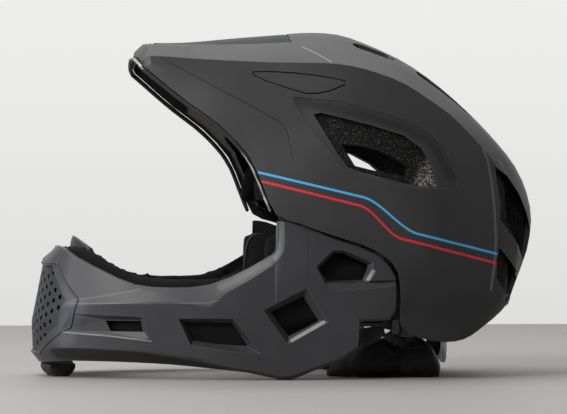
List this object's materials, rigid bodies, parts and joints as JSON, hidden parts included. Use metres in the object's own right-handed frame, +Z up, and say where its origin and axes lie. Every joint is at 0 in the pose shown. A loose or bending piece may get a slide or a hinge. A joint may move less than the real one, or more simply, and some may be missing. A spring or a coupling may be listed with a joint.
{
  "type": "full face helmet",
  "caption": "Full face sport helmet with a fixed visor, large vents, a lift-off chin guard on latches, padded liner, fit dial with racks and a chin strap with a side-release buckle.",
  "frame": {"origin": "Bottom centre of the helmet's box, on the surface it stands on.", "axes": "+X from the chin to the nape, +Y from the left side to the right side, +Z up."},
  "size_m": [0.3335, 0.193, 0.2275],
  "materials": {
    "matte_black": "satin moulded shell",
    "gloss_black": "gloss",
    "satin_black": "satin",
    "silver_liner": "speckled foam",
    "silver_trim": "polished edge",
    "comfort_fabric": "brushed knit",
    "webbing": "woven",
    "rubber_black": "matte",
    "metal_latch": "satin",
    "clear_plastic": "clear"
  },
  "bodies": {
    "helmet": {"outer_shell": "matte_black", "eps_liner": "silver_liner", "port_trim": "silver_trim", "visor_top_panel": "gloss_black", "inlay_left": "satin_black", "inlay_right": "satin_black", "brow_pad": "comfort_fabric", "crown_pad": "comfort_fabric", "temple_pad_left": "comfort_fabric", "temple_pad_right": "comfort_fabric", "rear_pad": "comfort_fabric", "strap_front_left": "webbing", "strap_front_right": "webbing", "strap_rear_left": "webbing", "strap_rear_right": "webbing", "strap_low_left": "webbing", "strap_low_right": "webbing", "divider_left": "satin_black", "divider_right": "satin_black", "anchors_left": "satin_black", "anchors_right": "satin_black", "sleeve_left": "comfort_fabric", "sleeve_right": "comfort_fabric", "strap_tail_left": "webbing", "buckle_socket": "satin_black", "latch_receiver_left": "satin_black", "latch_receiver_right": "satin_black", "fit_housing": "satin_black", "nape_cradle": "clear_plastic", "nape_pad": "comfort_fabric", "cradle_arm": "satin_black"},
    "chin_guard": {"chin_guard": "matte_black", "mouth_grille": "matte_black", "chin_foot": "rubber_black", "chin_foam": "comfort_fabric", "breath_shield": "rubber_black", "cheek_pad_left": "comfort_fabric", "cheek_pad_right": "comfort_fabric", "latch_tongue_left": "metal_latch", "latch_tongue_right": "metal_latch", "guard_screws_left": "metal_latch", "guard_screws_right": "metal_latch"},
    "release_left": {"release_button_left": "metal_latch"},
    "release_right": {"release_button_right": "metal_latch"},
    "dial": {"fit_dial": "satin_black"},
    "band_left": {"rack_left": "satin_black", "fit_band_left": "satin_black"},
    "band_right": {"rack_right": "satin_black", "fit_band_right": "satin_black"},
    "buckle_male": {"buckle_plug": "satin_black", "strap_tail_right": "webbing"}
  },
  "joints": [
    {"name": "guard_off", "type": "slide", "parent": "helmet", "child": "chin_guard", "axis": [-1, 0, 0], "range_m": [0, 0.08]},
    {"name": "press_left", "type": "slide", "parent": "helmet", "child": "release_left", "axis": [0, 1, 0], "range_m": [0, 0.0025], "stiffness_N_per_m": 800, "springref_m": -0.001},
    {"name": "press_right", "type": "slide", "parent": "helmet", "child": "release_right", "axis": [0, -1, 0], "range_m": [0, 0.0025], "stiffness_N_per_m": 800, "springref_m": -0.001},
    {"name": "fit_turn", "type": "hinge", "parent": "helmet", "child": "dial", "pos_m": [0.1198, 0, 0.045], "axis": [-1, 0, 0], "range_deg": [0, 70]},
    {"name": "draw_left", "type": "slide", "parent": "helmet", "child": "band_left", "axis": [0, 1, 0], "range_m": [0, 0.0062]},
    {"name": "draw_right", "type": "slide", "parent": "helmet", "child": "band_right", "axis": [0, -1, 0], "range_m": [0, 0.0062]},
    {"name": "buckle_out", "type": "slide", "parent": "helmet", "child": "buckle_male", "axis": [-1, 0, 0], "range_m": [0, 0.016]}
  ],
  "couplings": [
    {"joint": "draw_left", "follows": "fit_turn", "m_per_rad": 0.005},
    {"joint": "draw_right", "follows": "fit_turn", "m_per_rad": 0.005}
  ]
}
